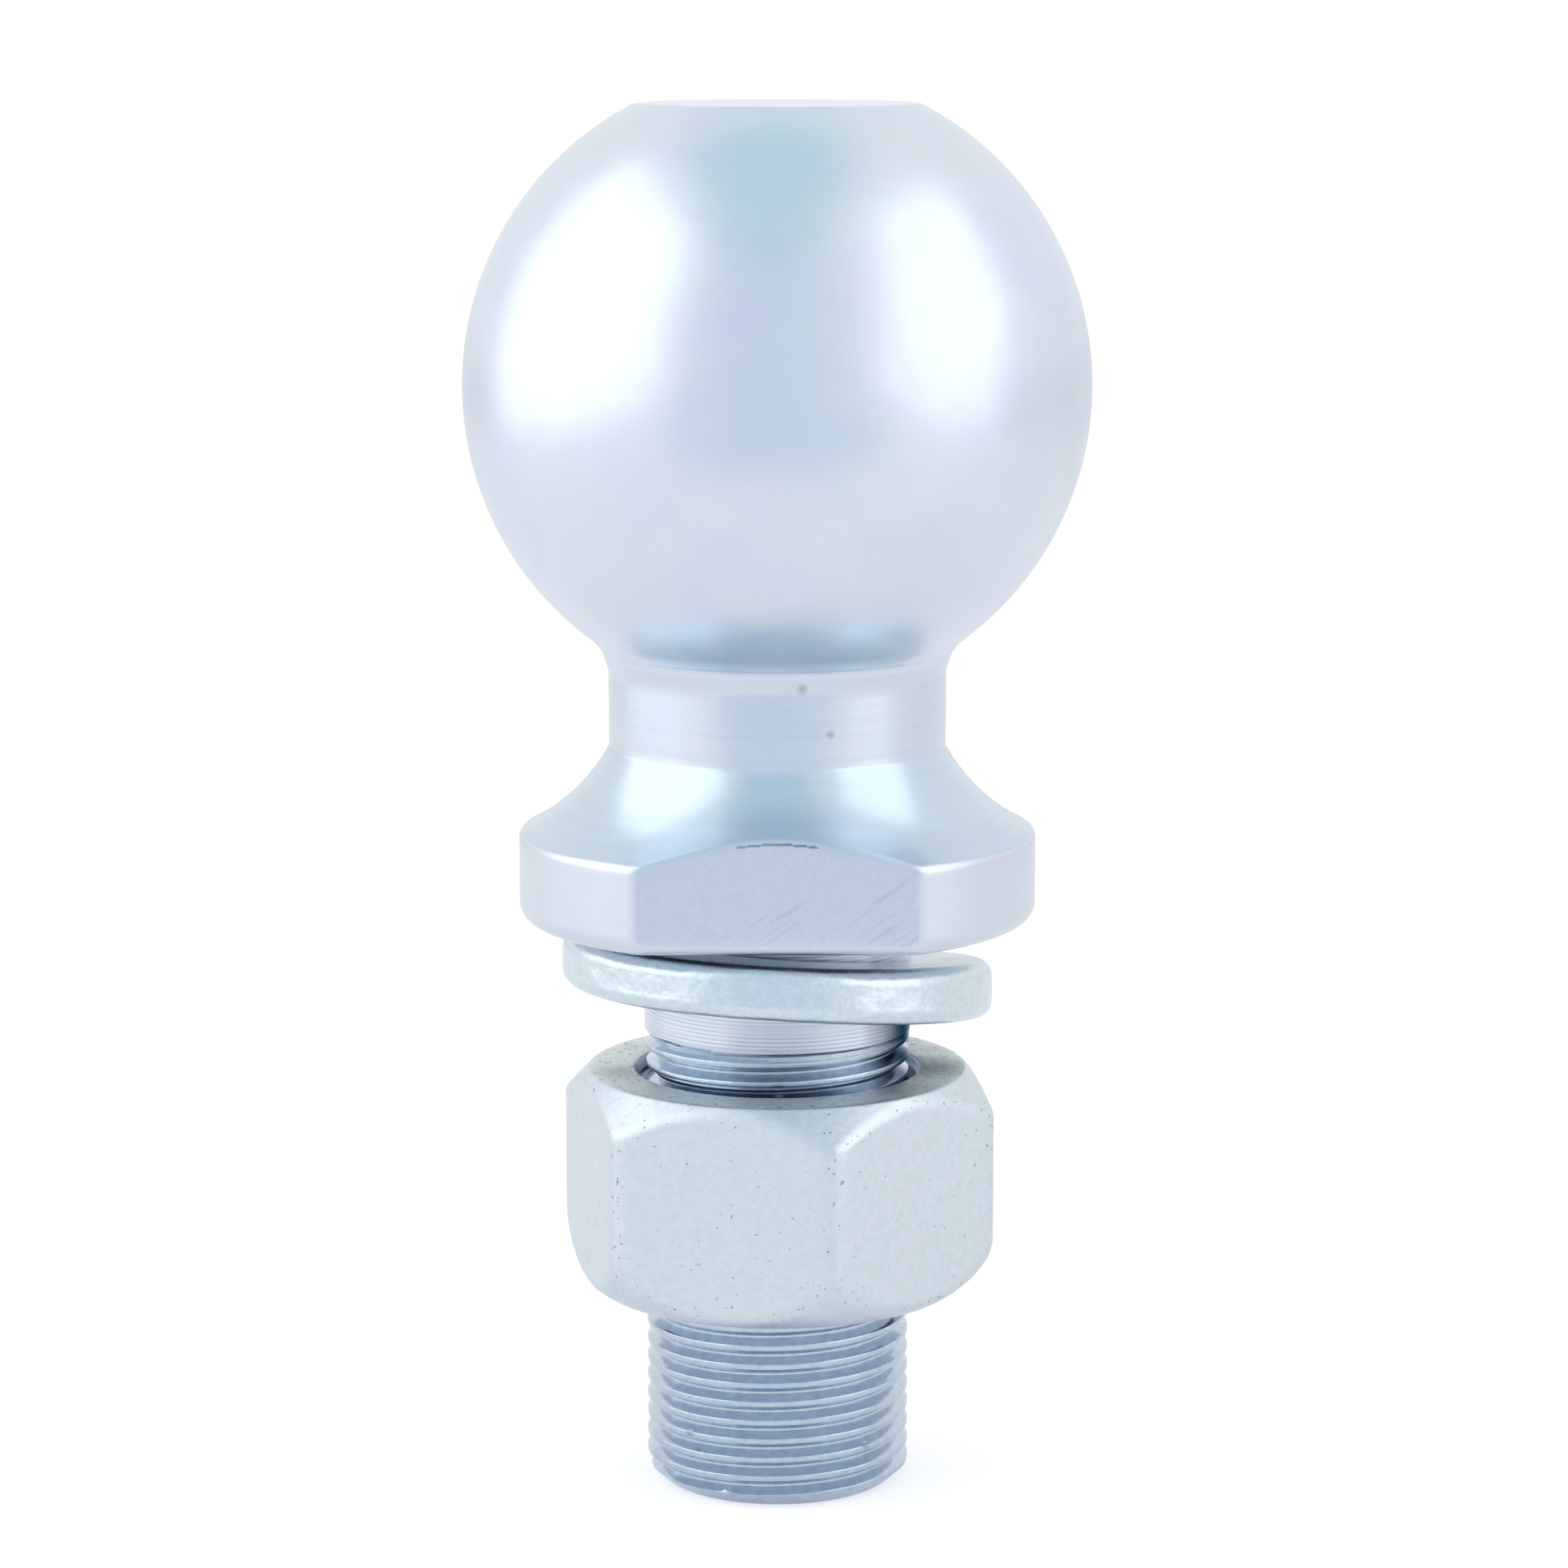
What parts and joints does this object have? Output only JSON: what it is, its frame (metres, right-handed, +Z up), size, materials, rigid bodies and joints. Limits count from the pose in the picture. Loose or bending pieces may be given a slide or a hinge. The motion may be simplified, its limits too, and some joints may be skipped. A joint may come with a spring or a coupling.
{
  "type": "threaded tow ball",
  "caption": "Tow ball on a threaded shank, with wrench flats cut into its flared flange, a split spring washer and a hex nut.",
  "frame": {"origin": "middle of the shank's end face, which the part stands on", "axes": "+Z up the shank's axis to the flat top of the ball, -Y out of the front wrench flat, +X to the right of it"},
  "size_m": [0.0588, 0.0588, 0.1312],
  "materials": {
    "ball_zinc": "turned steel with bright blue-white zinc plate",
    "washer_zinc": "coiled spring steel with satin zinc plate",
    "nut_zinc": "forged steel with dull zinc plate"
  },
  "bodies": {
    "ball": {"tow_ball": "ball_zinc"},
    "washer": {"lock_washer": "washer_zinc"},
    "nut": {"hex_nut": "nut_zinc"}
  },
  "joints": [
    {"name": "nut_turn", "type": "hinge", "parent": "ball", "child": "washer", "pos_m": [0, 0, 0.052], "axis": [0, 0, 1], "range_deg": [-3600, 360]},
    {"name": "nut_travel", "type": "slide", "parent": "washer", "child": "nut", "axis": [0, 0, 1], "range_m": [-0.01815, 0.00182]}
  ],
  "couplings": [
    {"joint": "nut_travel", "follows": "nut_turn", "m_per_rad": 0.00028875}
  ]
}
